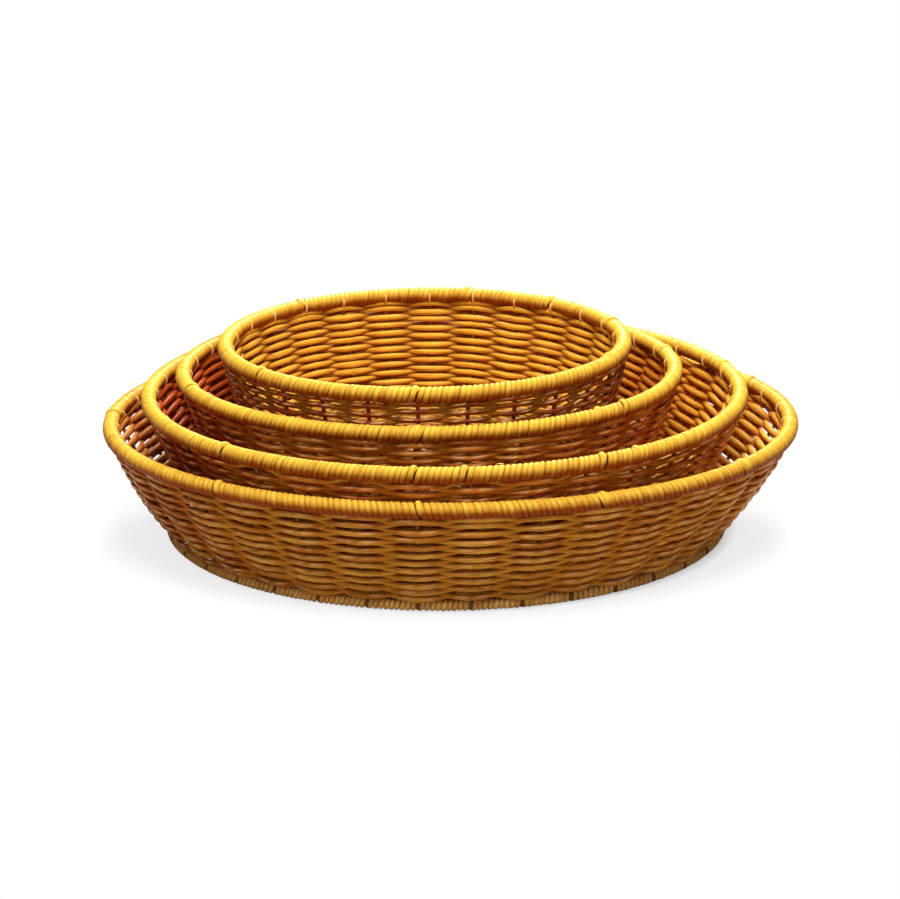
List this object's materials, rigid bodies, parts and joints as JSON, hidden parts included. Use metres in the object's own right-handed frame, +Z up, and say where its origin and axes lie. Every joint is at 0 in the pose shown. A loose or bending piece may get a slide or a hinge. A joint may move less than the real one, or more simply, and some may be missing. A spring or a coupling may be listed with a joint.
{
  "type": "nested wicker basket set",
  "caption": "Set of oval woven wicker baskets that nest in one another, each with flared walls, a strand-wrapped rim and a foot ring; the inner ones lift out.",
  "frame": {"origin": "on the floor under the middle of the large basket's rim, which is the middle of the whole part's bottom", "axes": "+X along the baskets' long axis towards the picture's right, +Y towards its back, +Z up out of the baskets"},
  "size_m": [0.3984, 0.2764, 0.1185],
  "materials": {
    "rim_strand": "satin",
    "wall_strand": "satin",
    "base_strand": "satin",
    "foot_strand": "satin",
    "stake_wire": "satin"
  },
  "bodies": {
    "large_basket": {"large_foot_ring": "foot_strand", "large_stakes": "stake_wire", "large_rim_hoop": "stake_wire", "large_rim_wrap": "rim_strand", "large_rim_tie_1": "rim_strand", "large_rim_tie_2": "rim_strand", "large_rim_tie_3": "rim_strand", "large_weaver_a_1": "wall_strand", "large_weaver_a_2": "wall_strand", "large_weaver_a_3": "wall_strand", "large_weaver_b_1": "wall_strand", "large_weaver_b_2": "wall_strand", "large_weaver_b_3": "wall_strand", "large_base_mat": "base_strand"},
    "medium_basket": {"medium_foot_ring": "foot_strand", "medium_stakes": "stake_wire", "medium_rim_hoop": "stake_wire", "medium_rim_wrap": "rim_strand", "medium_rim_tie_1": "rim_strand", "medium_rim_tie_2": "rim_strand", "medium_rim_tie_3": "rim_strand", "medium_weaver_a_1": "wall_strand", "medium_weaver_a_2": "wall_strand", "medium_weaver_a_3": "wall_strand", "medium_weaver_b_1": "wall_strand", "medium_weaver_b_2": "wall_strand", "medium_weaver_b_3": "wall_strand", "medium_base_mat": "base_strand"},
    "small_basket": {"small_foot_ring": "foot_strand", "small_stakes": "stake_wire", "small_rim_hoop": "stake_wire", "small_rim_wrap": "rim_strand", "small_rim_tie_1": "rim_strand", "small_rim_tie_2": "rim_strand", "small_rim_tie_3": "rim_strand", "small_weaver_a_1": "wall_strand", "small_weaver_a_2": "wall_strand", "small_weaver_a_3": "wall_strand", "small_weaver_b_1": "wall_strand", "small_weaver_b_2": "wall_strand", "small_weaver_b_3": "wall_strand", "small_base_mat": "base_strand"},
    "smallest_basket": {"smallest_foot_ring": "foot_strand", "smallest_stakes": "stake_wire", "smallest_rim_hoop": "stake_wire", "smallest_rim_wrap": "rim_strand", "smallest_rim_tie_1": "rim_strand", "smallest_rim_tie_2": "rim_strand", "smallest_rim_tie_3": "rim_strand", "smallest_weaver_a_1": "wall_strand", "smallest_weaver_a_2": "wall_strand", "smallest_weaver_a_3": "wall_strand", "smallest_weaver_b_1": "wall_strand", "smallest_weaver_b_2": "wall_strand", "smallest_weaver_b_3": "wall_strand", "smallest_base_mat": "base_strand"}
  },
  "joints": [
    {"name": "medium_lift", "type": "slide", "parent": "large_basket", "child": "medium_basket", "axis": [0, 0, 1], "range_m": [0, 0.075]},
    {"name": "small_lift", "type": "slide", "parent": "medium_basket", "child": "small_basket", "axis": [0, 0, 1], "range_m": [0, 0.075]},
    {"name": "smallest_lift", "type": "slide", "parent": "small_basket", "child": "smallest_basket", "axis": [0, 0, 1], "range_m": [0, 0.075]}
  ]
}
